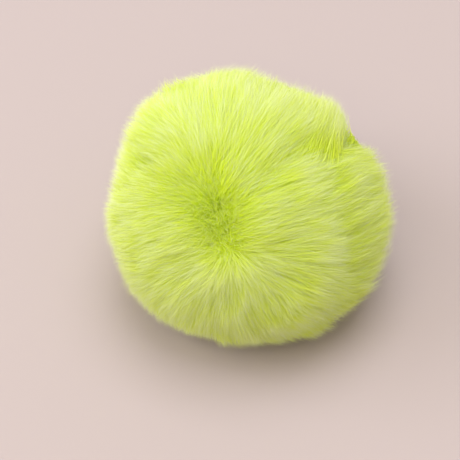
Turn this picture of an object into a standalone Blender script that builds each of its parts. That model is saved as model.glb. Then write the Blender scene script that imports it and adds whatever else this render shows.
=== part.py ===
"""Faux fur pom pom, resting on a table.

A round of long-pile fur fabric is drawn up over a wad into a ball, so that its
pile stands out on every side. The fabric is hidden: what shows is the pile,
which has felted into soft pointed locks. One closed solid holds the small ball
of fabric, called the backing here, and the locks that are rooted in it.

The pile is longest at the top and the back, and pressed short where the ball
sits. Its locks part at a crown on the front and lie away from it all round.
X is to the right and Z is up. The crown faces -Y and up.
"""

import math
import random
from collections import namedtuple

import bmesh
import bpy
from mathutils import Euler, Matrix, Vector

# The outline of the whole ball of fur, in metres
BALL_RADIUS = 0.0406
BALL_HALF_HEIGHT = 0.0385
BALL_CENTRE = Vector((0.0, 0.0, 0.0265))

# The backing lies low and forward in the ball, in metres
BACKING_RADIUS = 0.0160
BACKING_CENTRE = BALL_CENTRE + Vector((-0.0028, -0.0050, -0.0077))

# The backing is a cube of faces blown up into a ball, with a lock on each face.
# It is turned, in degrees, so that no row of locks runs level or upright
FACES_PER_EDGE = 7
BACKING_TURN = (33.0, 24.0, 51.0)
FACE_JITTER = 0.22
ROOT_INSET = 0.00028

# The direction of the crown from the backing, and how far the locks lean and
# turn round it, in degrees
CROWN_AZIMUTH = -90.0
CROWN_ELEVATION = 48.0
LEAN = 9.0
TWIST = 7.0

# A lock along its length, as shares of its length and of the room it has there
LockSection = namedtuple("LockSection", "along width")
LOCK_SECTIONS = (
    LockSection(along=0.38, width=0.86),
    LockSection(along=0.74, width=0.78),
    LockSection(along=0.92, width=0.42),
)
FLOOR_WIDTH = 0.50
LENGTH_JITTER = 0.05
TIP_JITTER = 0.0012
LOWEST_FREE_TIP = 0.0016

# Soft swells and hollows of the outline: directions from the ball's centre in
# degrees, height in metres and spread in degrees
Swell = namedtuple("Swell", "azimuth elevation height spread")
SWELLS = (
    Swell(azimuth=62.0, elevation=38.0, height=-0.0062, spread=19.0),
    Swell(azimuth=112.0, elevation=36.0, height=-0.0014, spread=15.0),
    Swell(azimuth=8.0, elevation=8.0, height=0.0002, spread=20.0),
    Swell(azimuth=-36.0, elevation=-22.0, height=0.0030, spread=32.0),
    Swell(azimuth=-140.0, elevation=-20.0, height=0.0016, spread=26.0),
    Swell(azimuth=-60.0, elevation=-37.0, height=0.0018, spread=13.0),
    Swell(azimuth=172.0, elevation=6.0, height=-0.0044, spread=21.0),
    Swell(azimuth=138.0, elevation=30.0, height=0.0022, spread=15.0),
    Swell(azimuth=-38.0, elevation=-28.0, height=-0.0018, spread=9.0),
)

# Partings of the pile: each run of stations is a groove, with its depth and
# half width in metres
Station = namedtuple("Station", "azimuth elevation depth half_width")
PARTINGS = (
    (
        Station(azimuth=34.0, elevation=12.0, depth=0.0050, half_width=0.0048),
        Station(azimuth=21.0, elevation=25.0, depth=0.0066, half_width=0.0052),
        Station(azimuth=-4.0, elevation=45.0, depth=0.0060, half_width=0.0050),
        Station(azimuth=-38.0, elevation=62.0, depth=0.0016, half_width=0.0042),
    ),
    (
        Station(azimuth=-10.0, elevation=48.0, depth=0.0036, half_width=0.0040),
        Station(azimuth=-29.0, elevation=34.0, depth=0.0026, half_width=0.0036),
        Station(azimuth=-44.0, elevation=10.0, depth=0.0014, half_width=0.0036),
    ),
)
STATIONS_BETWEEN = 6

SEED = 11
FUR_LIME = (0.60, 0.74, 0.10, 1.0)
FUR_ROUGHNESS = 0.85


def direction_of(azimuth, elevation):
    """The unit vector at that azimuth from +X and elevation above the table."""
    turn = math.radians(azimuth)
    rise = math.radians(elevation)
    level = math.cos(rise)
    return Vector((level * math.cos(turn), level * math.sin(turn), math.sin(rise)))


def soft_hill(angle, spread):
    return math.exp(-((angle / spread) ** 2))


def swell_at(direction):
    """How far the soft swells move the outline out, in metres."""
    total = 0.0
    for swell in SWELLS:
        angle = direction.angle(direction_of(swell.azimuth, swell.elevation))
        total += swell.height * soft_hill(angle, math.radians(swell.spread))
    return total


def parting_stations():
    """Every station of the partings, with the ones worked out in between."""
    stations = []
    for run in PARTINGS:
        for first, second in zip(run, run[1:]):
            start = direction_of(first.azimuth, first.elevation)
            end = direction_of(second.azimuth, second.elevation)
            for step in range(STATIONS_BETWEEN + 1):
                share = step / STATIONS_BETWEEN
                depth = first.depth + share * (second.depth - first.depth)
                wide = second.half_width - first.half_width
                half_width = first.half_width + share * wide
                stations.append((start.slerp(end, share), depth, half_width))
    return stations


def parting_at(direction, stations):
    """How deep the partings cut into the outline there, in metres."""
    depths = [
        depth * soft_hill(direction.angle(place) * BALL_RADIUS, half_width)
        for place, depth, half_width in stations
    ]
    return max(depths)


def reach(direction, stations):
    """How far the pile reaches from the backing's centre in a direction."""
    radii = Vector((BALL_RADIUS, BALL_RADIUS, BALL_HALF_HEIGHT))
    offset = BACKING_CENTRE - BALL_CENTRE
    start = Vector(o / r for o, r in zip(offset, radii))
    way = Vector(d / r for d, r in zip(direction, radii))
    along = way.dot(start)
    root = along * along - way.dot(way) * (start.dot(start) - 1.0)
    distance = (math.sqrt(root) - along) / way.dot(way)
    seen_from_ball = (offset + direction * distance).normalized()
    relief = swell_at(seen_from_ball) - parting_at(seen_from_ball, stations)
    return distance + relief


def leaning(direction):
    """The direction in which a lock ends, if it is rooted in this one."""
    crown = direction_of(CROWN_AZIMUTH, CROWN_ELEVATION)
    axis = crown.cross(direction)
    share = axis.length
    if share < 1e-6:
        return direction.copy()
    lean = Matrix.Rotation(math.radians(LEAN) * share, 3, axis)
    twist = Matrix.Rotation(math.radians(TWIST) * share, 3, crown)
    return twist @ lean @ direction


def backing_mesh(rng):
    """A ball of four-sided faces, about the same size and a little uneven."""
    bm = bmesh.new()
    bmesh.ops.create_cube(bm, size=2.0)
    bmesh.ops.subdivide_edges(
        bm, edges=bm.edges, cuts=FACES_PER_EDGE - 1, use_grid_fill=True
    )
    spacing = math.pi / 2 / FACES_PER_EDGE
    turn = Euler([math.radians(angle) for angle in BACKING_TURN]).to_matrix()
    for vert in bm.verts:
        even = turn @ Vector(math.tan(x * math.pi / 4) for x in vert.co).normalized()
        shift = Vector(rng.uniform(-1.0, 1.0) for _ in range(3))
        shift -= even * shift.dot(even)
        even += shift * FACE_JITTER * spacing
        vert.co = BACKING_CENTRE + even.normalized() * BACKING_RADIUS
    return bm


def lock_path(face, rng, stations):
    """Where a lock starts, bends and ends, and whether it ends on the table."""
    root = face.calc_center_median()
    out = (root - BACKING_CENTRE).normalized()
    end = leaning(out)
    length = reach(end, stations) * (1.0 + rng.uniform(-LENGTH_JITTER, 0.0))
    tip = BACKING_CENTRE + end * length
    stray = Vector(rng.uniform(-1.0, 1.0) for _ in range(3))
    on_table = tip.z < LOWEST_FREE_TIP
    if on_table:
        tip = BACKING_CENTRE + end * (BACKING_CENTRE.z / -end.z)
    else:
        tip += (stray - end * stray.dot(end)) * TIP_JITTER
    bend = root + out * (tip - root).length * 0.5
    return root, bend, tip, on_table


def point_along(root, bend, tip, share):
    return root * (1 - share) ** 2 + bend * 2 * share * (1 - share) + tip * share**2


def room_at(centre):
    """How much wider than its root a lock can be there."""
    return (centre - BACKING_CENTRE).length / BACKING_RADIUS


def next_ring(bm, face, corners):
    """Pulls the face out to these corners and returns the face that ends it."""
    made = bmesh.ops.extrude_discrete_faces(bm, faces=[face])["faces"][0]
    for vert, corner in zip(made.verts, corners):
        vert.co = corner
    return made


def grow_lock(bm, face, path):
    """A lock on one face, which widens with its room and ends in a point.

    One that ends on the table turns level towards its end and is flat there.
    """
    root, bend, tip, on_table = path
    base = [vert.co - root for vert in face.verts]
    for section in LOCK_SECTIONS:
        centre = point_along(root, bend, tip, section.along)
        width = room_at(centre) * section.width
        level = section.along**2 if on_table else 0.0
        sides = [side - Vector((0.0, 0.0, side.z * level)) for side in base]
        face = next_ring(bm, face, [centre + side * width for side in sides])
    if not on_table:
        bmesh.ops.poke(bm, faces=[face])["verts"][0].co = tip
        return
    width = room_at(tip) * FLOOR_WIDTH
    flat = [Vector((side.x, side.y, 0.0)) for side in base]
    next_ring(bm, face, [tip + side * width for side in flat])


def fur_ball():
    """The backing with a lock on every face, as one closed mesh."""
    rng = random.Random(SEED)
    stations = parting_stations()
    bm = backing_mesh(rng)
    faces = list(bm.faces)
    paths = [lock_path(face, rng, stations) for face in faces]
    bmesh.ops.inset_individual(bm, faces=faces, thickness=ROOT_INSET)
    for face, path in zip(faces, paths):
        grow_lock(bm, face, path)
    bmesh.ops.recalc_face_normals(bm, faces=bm.faces)
    return bm


def stand_on_origin(bm):
    """Moves the ball so that the origin is under the middle of its outline."""
    corners = [vert.co for vert in bm.verts]
    middle = Vector(
        (
            (min(c.x for c in corners) + max(c.x for c in corners)) / 2,
            (min(c.y for c in corners) + max(c.y for c in corners)) / 2,
            min(c.z for c in corners),
        )
    )
    bmesh.ops.translate(bm, verts=bm.verts, vec=-middle)
    return -middle


def fur_material():
    material = bpy.data.materials.new("lime_faux_fur")
    material.use_nodes = True
    shader = material.node_tree.nodes["Principled BSDF"]
    shader.inputs["Base Color"].default_value = FUR_LIME
    shader.inputs["Roughness"].default_value = FUR_ROUGHNESS
    shader.inputs["Metallic"].default_value = 0.0
    return material


def build():
    for obj in list(bpy.data.objects):
        bpy.data.objects.remove(obj)
    collection = bpy.data.collections.new("pom_pom")
    bpy.context.scene.collection.children.link(collection)
    bm = fur_ball()
    stand_on_origin(bm)
    mesh = bpy.data.meshes.new("fur_ball")
    bm.to_mesh(mesh)
    bm.free()
    mesh.materials.append(fur_material())
    mesh.shade_smooth()
    mesh.set_sharp_from_angle(angle=math.radians(60.0))
    collection.objects.link(bpy.data.objects.new("fur_ball", mesh))


build()
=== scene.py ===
"""Lime fur pom pom on a pale table.

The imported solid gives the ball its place, size and outline. Here its coarse
locks are replaced by what the real ball shows: a dense base of short hair, and
over it a long soft pile of fine hair that clings together in narrow tufts.
"""

import math

import bpy
import numpy as np
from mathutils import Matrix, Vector


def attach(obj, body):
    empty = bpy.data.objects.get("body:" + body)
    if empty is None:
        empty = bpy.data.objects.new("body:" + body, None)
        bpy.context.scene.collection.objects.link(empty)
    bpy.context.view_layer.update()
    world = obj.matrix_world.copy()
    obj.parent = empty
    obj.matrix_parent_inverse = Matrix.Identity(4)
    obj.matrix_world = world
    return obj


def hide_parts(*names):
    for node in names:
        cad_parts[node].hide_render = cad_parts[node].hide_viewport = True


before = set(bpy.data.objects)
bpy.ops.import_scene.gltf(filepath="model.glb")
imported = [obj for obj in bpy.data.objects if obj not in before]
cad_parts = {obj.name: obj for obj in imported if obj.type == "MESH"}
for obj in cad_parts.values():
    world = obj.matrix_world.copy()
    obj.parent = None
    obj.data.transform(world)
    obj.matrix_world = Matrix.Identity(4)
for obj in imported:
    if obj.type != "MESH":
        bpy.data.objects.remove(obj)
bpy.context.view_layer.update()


# The underhair. It is the short, dense acrylic hair next to the fabric, a round
# that is drawn up by its edge into a ball. It has matted to a felt, and shows
# only as a deeper lime between the tufts of the long pile.

# The ball to which the hair is trimmed, in metres, as in the solid. It sags a
# little where it sits, and every hair points away from the middle of the fabric
BALL_RADII = np.array((0.0406, 0.0406, 0.0385))
BALL_CENTRE = np.array((-0.001137, 0.000973, 0.0265))
FABRIC_CENTRE = BALL_CENTRE + np.array((-0.0028, -0.0050, -0.0077))

# Soft swells and hollows of the ball: azimuth and elevation in degrees, height
# in metres and spread in degrees
SWELLS = (
    (62.0, 38.0, -0.0062, 19.0),
    (112.0, 36.0, -0.0014, 15.0),
    (8.0, 8.0, 0.0002, 20.0),
    (-36.0, -22.0, 0.0030, 32.0),
    (-140.0, -20.0, 0.0016, 26.0),
    (-60.0, -37.0, 0.0018, 13.0),
    (172.0, 6.0, -0.0044, 21.0),
    (138.0, 30.0, 0.0022, 15.0),
    (-38.0, -28.0, -0.0018, 9.0),
)

# Partings of the pile, as runs of azimuth, elevation, depth and half width
PARTINGS = (
    (
        (34.0, 12.0, 0.0050, 0.0048),
        (21.0, 25.0, 0.0066, 0.0052),
        (-4.0, 45.0, 0.0060, 0.0050),
        (-38.0, 62.0, 0.0016, 0.0042),
    ),
    (
        (-10.0, 48.0, 0.0036, 0.0040),
        (-29.0, 34.0, 0.0026, 0.0036),
        (-44.0, 10.0, 0.0014, 0.0036),
    ),
)
STATIONS_BETWEEN = 6

# How far out the underhair reaches, as a share of the pile's reach, how lumpy it
# is, and the height in metres at which it lies pressed on the table
UNDERHAIR_SHARE = 0.82
UNDERHAIR_LUMPS = 0.010
LUMP_WAVES = ((14.0, 12), (31.0, 16))
UNDERHAIR_LOWEST = 0.0006
UNDERHAIR_SEED = 3

# The matted clumps: their width in millimetres and their height in metres
CLUMP_MM = 1.111
CLUMP_HEIGHT = 0.0004
UNDERHAIR_COLOURS = ((0.3, "#dcec10"), (0.7, "#f2fa44"))


def unit(vectors):
    return vectors / np.linalg.norm(vectors, axis=-1, keepdims=True)


def direction_of(azimuth, elevation):
    """The unit vector at that azimuth from +X and elevation, in degrees."""
    turn, rise = math.radians(azimuth), math.radians(elevation)
    level = math.cos(rise)
    return np.array((level * math.cos(turn), level * math.sin(turn), math.sin(rise)))


def parting_stations():
    """Every station of the partings, with the ones worked out in between."""
    stations = []
    for run in PARTINGS:
        for first, second in zip(run, run[1:]):
            start, end = direction_of(*first[:2]), direction_of(*second[:2])
            for share in np.linspace(0.0, 1.0, STATIONS_BETWEEN + 1):
                place = unit(start * (1 - share) + end * share)
                depth = first[2] * (1 - share) + second[2] * share
                half_width = first[3] * (1 - share) + second[3] * share
                stations.append((place, depth, half_width))
    return stations


def angle_to(directions, place):
    return np.arccos(np.clip(directions @ place, -1.0, 1.0))


def reach(directions):
    """How far the pile reaches from the fabric's middle in each direction."""
    offset = FABRIC_CENTRE - BALL_CENTRE
    start, way = offset / BALL_RADII, directions / BALL_RADII
    along, square = way @ start, (way * way).sum(-1)
    room = along * along - square * (start @ start - 1.0)
    distance = (np.sqrt(room) - along) / square
    seen = unit(offset + directions * distance[..., None])
    for azimuth, elevation, height, spread in SWELLS:
        angle = angle_to(seen, direction_of(azimuth, elevation))
        distance = distance + height * np.exp(-((angle / math.radians(spread)) ** 2))
    depth = np.zeros(distance.shape)
    for place, deepest, half_width in parting_stations():
        across = angle_to(seen, place) * BALL_RADII[0] / half_width
        depth = np.maximum(depth, deepest * np.exp(-(across**2)))
    return distance - depth


def waves(directions, sizes, rng):
    """A soft unevenness over directions, mostly from -1 to 1.

    Each size is how fast its waves rise and fall, and how many cross each other.
    """
    total = np.zeros(directions.shape[:-1])
    for size, count in sizes:
        ways = unit(rng.normal(size=(count, 3))) * size
        phases = rng.uniform(0.0, 2 * math.pi, count)
        total += np.cos(directions @ ways.T + phases).sum(-1) / math.sqrt(count)
    return total


def linear(code):
    """An sRGB hex colour as the linear colour that a shader takes."""
    values = [int(code[i : i + 2], 16) / 255 for i in (1, 3, 5)]
    steps = [
        value / 12.92 if value <= 0.04045 else ((value + 0.055) / 1.055) ** 2.4
        for value in values
    ]
    return (*steps, 1.0)


def node(tree, kind, settings=(), inputs=(), links=()):
    """Adds a shader node with its settings, input values and incoming links."""
    made = tree.nodes.new(kind)
    for name, value in dict(settings).items():
        setattr(made, name, value)
    for name, value in dict(inputs).items():
        made.inputs[name].default_value = value
    for name, source in dict(links).items():
        tree.links.new(source, made.inputs[name])
    return made


def colours(tree, share, stops):
    """A colour ramp with these stops of position and sRGB hex colour."""
    ramp = node(tree, "ShaderNodeValToRGB", links={"Fac": share})
    while len(ramp.color_ramp.elements) < len(stops):
        ramp.color_ramp.elements.new(1.0)
    for element, (position, code) in zip(ramp.color_ramp.elements, stops):
        element.position = position
        element.color = linear(code)
    return ramp.outputs["Color"]


def matted_underhair():
    """Acrylic underhair, matted to a felt with clumps a millimetre wide.

    It is dull, so that the eye sees only a deep, uneven lime between the tufts.
    """
    material = bpy.data.materials.new("matted lime underhair")
    material.use_nodes = True
    tree = material.node_tree
    surface = tree.nodes["Principled BSDF"]
    place = node(tree, "ShaderNodeTexCoord").outputs["Object"]
    clumps = node(
        tree,
        "ShaderNodeTexNoise",
        inputs={"Scale": 1000.0 / CLUMP_MM, "Detail": 4.0, "Roughness": 0.6},
        links={"Vector": place},
    ).outputs["Fac"]
    colour = colours(tree, clumps, UNDERHAIR_COLOURS)
    bump = node(
        tree,
        "ShaderNodeBump",
        inputs={"Strength": 0.6, "Distance": CLUMP_HEIGHT},
        links={"Height": clumps},
    )
    tree.links.new(colour, surface.inputs["Base Color"])
    tree.links.new(bump.outputs["Normal"], surface.inputs["Normal"])
    surface.inputs["Roughness"].default_value = 0.9
    surface.inputs["Specular IOR Level"].default_value = 0.2
    return material


bpy.ops.mesh.primitive_ico_sphere_add(subdivisions=5, radius=1.0)
underhair = bpy.context.active_object
underhair.name = underhair.data.name = "underhair"
corners = np.empty(len(underhair.data.vertices) * 3)
underhair.data.vertices.foreach_get("co", corners)
ways = unit(corners.reshape(-1, 3))
lumps = waves(ways, LUMP_WAVES, np.random.default_rng(UNDERHAIR_SEED))
height = reach(ways) * UNDERHAIR_SHARE * (1.0 + UNDERHAIR_LUMPS * lumps)
corners = FABRIC_CENTRE + ways * height[:, None]
corners[:, 2] = np.maximum(corners[:, 2], UNDERHAIR_LOWEST)
underhair.data.vertices.foreach_set("co", corners.reshape(-1))
underhair.data.update()
underhair.data.shade_smooth()
underhair.data.materials.append(matted_underhair())
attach(underhair, "root")
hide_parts("fur_ball")


# The pile. It is long, very fine acrylic hair, knitted into the same fabric. It
# is parted at the crown and lies away from it, and neighbouring hairs cling
# together in tufts a millimetre wide, which bend and cross a little.

# A hair is a flat ribbon that ends in a point, drawn about three times as thick
# as a real one, because there are fewer of them. Half widths are in metres, the
# curl is a share of a hair's length, and its roll about itself is in radians
TUFTS = 13000
HAIRS_PER_TUFT = 22
ROOT_SHARE = 0.70
HALF_WIDTH = (0.000052, 0.000088)
BEND_AT = 0.55
CURL = 0.13
ROLL = 0.6
PILE_SEED = 7

# The crown is a short parting line from high up to low on the front
CROWN_TOP = direction_of(-104.0, 60.0)
CROWN_FOOT = direction_of(-92.0, 44.0)

# How far the tufts lean away from the crown and turn round it, in degrees, and
# how unevenly. The smaller the rise, the nearer to the crown the lean is full
LEAN = 25.0
LEAN_RISE = 0.11
LEAN_UNEVEN = 11.0
LEAN_WAVES = ((4.0, 6), (9.0, 8))
TUFT_LEAN_UNEVEN = 4.0
TWIST = 6.0
TWIST_UNEVEN = 10.0
TWIST_WAVES = ((5.0, 6), (13.0, 8))

# How hair clings. The tufts are spaced a little unevenly. Each takes its hairs
# from a disc somewhat wider than its own share of the ball, gathers their tips,
# and leans towards the middle of a larger lock
SPACING_JITTER = 0.45
TUFT_SPREAD = 1.30
GATHER = 0.44
GATHER_UNEVEN = 0.2
LOCKS = 420
LOCK_GATHER = 0.25

# How far the tips stray, as a share of their reach: a little everywhere, more
# within some degrees of the crown, and most in the few hairs that fly away
STRAY = 0.025
CROWN_STRAY = 0.05
CROWN_STRAY_SPREAD = 16.0
FLYAWAY = 0.09
FLYAWAY_SHARE = 0.02
FLYAWAY_LENGTH = (0.98, 1.035)

# How much the tufts and hairs differ in length, as shares of it. The higher the
# power, the fewer hairs are short
LOCK_SHORTER = 0.04
TUFT_LONGER = 0.02
TUFT_SHORTER = 0.04
LENGTH_UNEVEN = 0.012
LENGTH_WAVES = ((5.0, 6), (11.0, 8))
HAIR_SHORTER = 0.09
SHORTER_POWER = 1.4

# Heights above the table, in metres, of the hair that is pressed under the ball
TIP_LOWEST = 0.0004
TIP_LOWEST_RANGE = 0.0008
ROOT_LOWEST = 0.0008
BEND_LOWEST = 0.0004

# Part of a hair's tone is its tuft's, and the rest is its own
TUFT_TONE = 0.35


def nearest_crown(directions):
    """The point of the crown's line that is nearest to each direction."""
    line = CROWN_FOOT - CROWN_TOP
    share = np.clip((directions - CROWN_TOP) @ line / (line @ line), 0.0, 1.0)
    return unit(CROWN_TOP + share[..., None] * line)


def near_crown(directions, spread):
    """One at the crown, falling softly to nothing over the spread in degrees."""
    gap = np.linalg.norm(directions - nearest_crown(directions), axis=-1)
    return np.exp(-((gap / math.radians(spread)) ** 2))


def spread_evenly(count, rng):
    """Directions that are spread over the ball, about evenly."""
    step = np.arange(count)
    height = 1.0 - (2 * step + 1) / count
    level = np.sqrt(1.0 - height * height)
    turn = step * math.pi * (3.0 - math.sqrt(5.0))
    even = np.stack((level * np.cos(turn), level * np.sin(turn), height), -1)
    jitter = SPACING_JITTER * math.sqrt(4 * math.pi / count)
    return unit(even + rng.uniform(-jitter, jitter, even.shape))


def turned(vectors, axes, angles):
    """The vectors turned round these axes by these angles in radians."""
    cosine, sine = np.cos(angles)[..., None], np.sin(angles)[..., None]
    kept = axes * (axes * vectors).sum(-1, keepdims=True) * (1 - cosine)
    return vectors * cosine + np.cross(axes, vectors) * sine + kept


def lying_over(directions, leans, twists):
    """Directions moved away from the crown and round it, in degrees."""
    crown = nearest_crown(directions)
    axes = np.cross(crown, directions)
    away = np.linalg.norm(axes, axis=-1)
    axes = axes / np.maximum(away, 1e-9)[..., None]
    away = away / np.sqrt(away * away + LEAN_RISE)
    leant = turned(directions, axes, np.radians(leans) * away)
    return turned(leant, crown, np.radians(twists) * away)


rng = np.random.default_rng(PILE_SEED)
tufts = spread_evenly(TUFTS, rng)
locks = spread_evenly(LOCKS, rng)
lock_of = np.argmax(tufts @ locks.T, axis=1)
tuft_lean = LEAN + LEAN_UNEVEN * waves(tufts, LEAN_WAVES, rng)
tuft_lean += rng.normal(0.0, TUFT_LEAN_UNEVEN, TUFTS)
tuft_twist = TWIST + TWIST_UNEVEN * waves(tufts, TWIST_WAVES, rng)
tuft_length = 1.0 - LOCK_SHORTER * rng.random(LOCKS)[lock_of]
tuft_length += rng.uniform(-TUFT_SHORTER, TUFT_LONGER, TUFTS)
tuft_length += LENGTH_UNEVEN * waves(tufts, LENGTH_WAVES, rng)
tuft_end = unit((1 - LOCK_GATHER) * tufts + LOCK_GATHER * locks[lock_of])

# The tips are spread evenly over the ball, each tuft's over its own disc. Any
# axis that no tuft points along serves to lay out the discs
many = (TUFTS, HAIRS_PER_TUFT)
side = unit(np.cross(tufts, (0.12, 0.46, 0.88)))
other = np.cross(tufts, side)
turn = rng.uniform(0.0, 2 * math.pi, many)
away = TUFT_SPREAD * math.sqrt(4 / TUFTS) * np.sqrt(rng.random(many))
offset = side[:, None] * (away * np.cos(turn))[..., None]
offset += other[:, None] * (away * np.sin(turn))[..., None]
own_end = unit(tufts[:, None] + offset)

# The hairs are rooted nearer the crown than they end, so that they lie away
# from it and yet are as dense there as elsewhere
out = lying_over(
    own_end,
    np.broadcast_to(-tuft_lean[:, None], many),
    np.broadcast_to(-tuft_twist[:, None], many),
)
gather = np.clip(rng.normal(GATHER, GATHER_UNEVEN, many), 0.0, 1.0)[..., None]
end = unit(own_end * (1 - gather) + tuft_end[:, None] * gather)
flyaway = rng.random(many) < FLYAWAY_SHARE
stray = STRAY + CROWN_STRAY * near_crown(end, CROWN_STRAY_SPREAD)
stray = np.where(flyaway, FLYAWAY, stray)[..., None]
end = unit(end + rng.normal(0.0, 1.0, end.shape) * stray)
hair_length = 1 - HAIR_SHORTER * rng.random(many) ** SHORTER_POWER
length = reach(end) * tuft_length[:, None] * hair_length
length *= np.where(flyaway, rng.uniform(*FLYAWAY_LENGTH, many), 1.0)

# Under the ball the hairs end just above the table
lowest = TIP_LOWEST + TIP_LOWEST_RANGE * rng.random(many)
to_table = (FABRIC_CENTRE[2] - lowest) / np.maximum(-end[..., 2], 1e-3)
length = np.where(end[..., 2] < 0.0, np.minimum(length, to_table), length)
root = FABRIC_CENTRE + out * (reach(out) * ROOT_SHARE)[..., None]
root[..., 2] = np.maximum(root[..., 2], ROOT_LOWEST)
tip = FABRIC_CENTRE + end * length[..., None]
size = np.linalg.norm(tip - root, axis=-1)
curl = rng.normal(0.0, CURL, TUFTS)[:, None] + rng.normal(0.0, CURL / 2, many)
bend = root + out * (size * 0.5)[..., None]
bend += unit(np.cross(out, end) + 1e-9) * (curl * size)[..., None]
bend[..., 2] = np.maximum(bend[..., 2], BEND_LOWEST)

half_width = rng.uniform(*HALF_WIDTH, many)
roll = rng.normal(0.0, ROLL, many)
tone = TUFT_TONE * rng.random(TUFTS)[:, None] + (1 - TUFT_TONE) * rng.random(many)

# The five points of a ribbon, along and across it, and its three faces
ALONG = np.array((0.0, 0.0, BEND_AT, BEND_AT, 1.0))
ACROSS = np.array((0.0, 1.0, 0.0, 1.0, 0.5))
FACES = np.array(((0, 1, 3), (0, 3, 2), (2, 3, 4)))

# The map for a bake: tones run from left to right over it, and a hair is a
# narrow stripe that runs from its root at the bottom to its tip at the top
MAP_EDGE = 0.01
MAP_TONES = 0.95
MAP_LENGTHS = 0.98
MAP_HAIR = 0.02


def ribbon_points(chosen):
    """The points of each chosen hair: two pairs of sides, and the tip."""
    first, middle, last = root[chosen], bend[chosen], tip[chosen]
    points = []
    for share in (0.0, BEND_AT):
        centre = first * (1 - share) ** 2
        centre += middle * 2 * share * (1 - share) + last * share**2
        ahead = unit((middle - first) * (1 - share) + (last - middle) * share)
        across = unit(np.cross(ahead, out[chosen]) + 1e-6)
        across = turned(across, ahead, roll[chosen]) * half_width[chosen][..., None]
        points += [centre - across, centre + across]
    return np.stack((*points, last), axis=-2).reshape(-1, 3)


def hair_mesh(name, chosen):
    """The chosen tufts' hairs as one mesh, with the map that a bake can use."""
    points = ribbon_points(chosen)
    hairs = len(points) // len(ALONG)
    firsts = np.arange(hairs) * len(ALONG)
    faces = (FACES[None] + firsts[:, None, None]).reshape(-1, 3)
    mesh = bpy.data.meshes.new(name)
    mesh.vertices.add(len(points))
    mesh.vertices.foreach_set("co", points.astype(np.float32).reshape(-1))
    mesh.loops.add(faces.size)
    mesh.loops.foreach_set("vertex_index", faces.astype(np.int32).reshape(-1))
    mesh.polygons.add(len(faces))
    starts = np.arange(len(faces), dtype=np.int32) * 3
    mesh.polygons.foreach_set("loop_start", starts)
    mesh.polygons.foreach_set("use_smooth", np.ones(len(faces), dtype=bool))
    mesh.update(calc_edges=True)
    tones = np.repeat(tone[chosen].reshape(-1), len(ALONG))
    shares = np.tile(ALONG, hairs)
    for label, values in (("tone", tones), ("along", shares)):
        attribute = mesh.attributes.new(label, "FLOAT", "POINT")
        attribute.data.foreach_set("value", values.astype(np.float32))
    across = MAP_EDGE + MAP_TONES * tones + MAP_HAIR * np.tile(ACROSS, hairs)
    flat = np.stack((across, MAP_EDGE + MAP_LENGTHS * shares), -1)
    uv = mesh.uv_layers.new(name="OFBake")
    uv.data.foreach_set("uv", flat[faces.reshape(-1)].astype(np.float32).reshape(-1))
    return mesh


# The colours along a hair, and how far its own tone moves it along them. The pale tip
# is partly the hair's own colour and partly painted sheen, the pale look of lit hair
# at the ball's edge
PILE_COLOURS = (
    (0.0, "#e0ee0c"),
    (0.6, "#eaf62c"),
    (0.86, "#ebf460"),
    (1.0, "#f0f4c8"),
)
TONE_RANGE = 0.25
TONE_START = -0.09
SHINES_THROUGH = 0.45


def combed_pile():
    """Acrylic pile, spun fine and combed: deep lime at the root, pale at the tip.

    The pale tips are partly painted sheen. Each smooth hair has a soft sheen along
    it, and is thin enough that light passes through, which makes the whole ball glow.
    """
    material = bpy.data.materials.new("lime acrylic fur pile")
    material.use_nodes = True
    tree = material.node_tree
    surface = tree.nodes["Principled BSDF"]
    output = tree.nodes["Material Output"]
    along = node(tree, "ShaderNodeAttribute", {"attribute_name": "along"})
    own = node(tree, "ShaderNodeAttribute", {"attribute_name": "tone"})
    shift = node(
        tree,
        "ShaderNodeMath",
        {"operation": "MULTIPLY_ADD"},
        {1: TONE_RANGE, 2: TONE_START},
        {0: own.outputs["Fac"]},
    )
    share = node(
        tree,
        "ShaderNodeMath",
        {"operation": "ADD"},
        links={0: along.outputs["Fac"], 1: shift.outputs["Value"]},
    )
    colour = colours(tree, share.outputs["Value"], PILE_COLOURS)
    tree.links.new(colour, surface.inputs["Base Color"])
    surface.inputs["Roughness"].default_value = 0.42
    surface.inputs["Specular IOR Level"].default_value = 0.8
    through = node(tree, "ShaderNodeBsdfTranslucent", links={"Color": colour})
    mixed = node(
        tree,
        "ShaderNodeMixShader",
        inputs={"Fac": SHINES_THROUGH},
        links={1: surface.outputs["BSDF"], 2: through.outputs["BSDF"]},
    )
    tree.links.new(mixed.outputs["Shader"], output.inputs["Surface"])
    return material


# The pile is built in six sectors, in order of azimuth from the left
SECTORS = (
    "pile_left",
    "pile_front_left",
    "pile_front_right",
    "pile_right",
    "pile_back_right",
    "pile_back_left",
)
pile_material = combed_pile()
from_left = np.degrees(np.arctan2(tufts[:, 1], tufts[:, 0])) + 180.0
sector_of = (from_left // (360 / len(SECTORS))).astype(int) % len(SECTORS)
for number, name in enumerate(SECTORS):
    mesh = hair_mesh(name, np.flatnonzero(sector_of == number))
    mesh.materials.append(pile_material)
    pile = bpy.data.objects.new(name, mesh)
    bpy.context.scene.collection.objects.link(pile)
    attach(pile, "root")
    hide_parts("fur_ball")


# The table top that the ball rests on. It is a plain, pale, slightly pink board,
# wide enough for every view, and faced with matt plaster, which gives the eye an
# even tone with no gloss.
TABLE_RADIUS = 4.0
bpy.ops.mesh.primitive_circle_add(vertices=128, radius=TABLE_RADIUS, fill_type="NGON")
floor = bpy.context.active_object
floor.name = floor.data.name = "table_top"
plaster = bpy.data.materials.new("pale matt plaster")
plaster.use_nodes = True
plaster_surface = plaster.node_tree.nodes["Principled BSDF"]
plaster_surface.inputs["Base Color"].default_value = linear("#b09f9c")
plaster_surface.inputs["Roughness"].default_value = 0.8
floor.data.materials.append(plaster)


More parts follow.
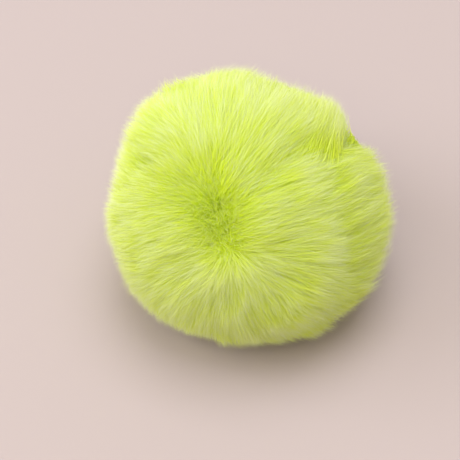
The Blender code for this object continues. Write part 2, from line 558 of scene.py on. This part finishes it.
# The light: a room with an even, soft light, a softbox high over the ball, one
# low on the left, and a weak one at the front left. The lower right of the ball
# lies in a light shade, and the table is darker only close under its edge.
LAMP_DISTANCE = 1.6
LAMP_AIM = Vector((0.0, 0.0, 0.03))
SOFTBOXES = (
    # name, azimuth, elevation, size in metres, watts, colour
    ("overhead_softbox", 65.0, 82.0, 1.0, 18.6, "#eef4ff"),
    ("left_softbox", 180.0, 30.0, 1.2, 15.8, "#eef4ff"),
    ("front_softbox", -125.0, 58.0, 1.2, 8.4, "#fbf8de"),
)
world = bpy.data.worlds.new("studio")
world.use_nodes = True
room = world.node_tree.nodes["Background"]
room.inputs["Color"].default_value = linear("#f7f5ea")
room.inputs["Strength"].default_value = 0.72
bpy.context.scene.world = world

for name, azimuth, elevation, width, watts, colour in SOFTBOXES:
    light = bpy.data.lights.new(name, "AREA")
    light.energy = watts
    light.size = width
    light.color = linear(colour)[:3]
    lamp = bpy.data.objects.new(name, light)
    bpy.context.scene.collection.objects.link(lamp)
    lamp.location = Vector(direction_of(azimuth, elevation)) * LAMP_DISTANCE
    ahead = LAMP_AIM - lamp.location
    lamp.rotation_euler = ahead.to_track_quat("-Z", "Y").to_euler()


# The camera: the photograph looks down on the front at about 49 degrees, from
# near by, with the ball a little right of the middle and above it. The shift to
# the right and up is in pixels of the photograph.
CAMERA_AZIMUTH = -90.0
CAMERA_ELEVATION = 49.0
CAMERA_DISTANCE = 0.296
CAMERA_AIM = Vector((-0.0011, 0.0, 0.0260))
LENS_MM = 85.0
PHOTO_SIDE = 460
SHIFT_RIGHT = -16
SHIFT_UP = -26
lens = bpy.data.cameras.new("camera")
lens.lens = LENS_MM
lens.clip_start = 0.01
lens.shift_x = SHIFT_RIGHT / PHOTO_SIDE
lens.shift_y = SHIFT_UP / PHOTO_SIDE
camera = bpy.data.objects.new("camera", lens)
bpy.context.scene.collection.objects.link(camera)
back = Vector(direction_of(CAMERA_AZIMUTH, CAMERA_ELEVATION))
camera.location = CAMERA_AIM + back * CAMERA_DISTANCE
camera.rotation_euler = (-back).to_track_quat("-Z", "Y").to_euler()
bpy.context.scene.camera = camera
bpy.context.scene.view_settings.view_transform = "Standard"
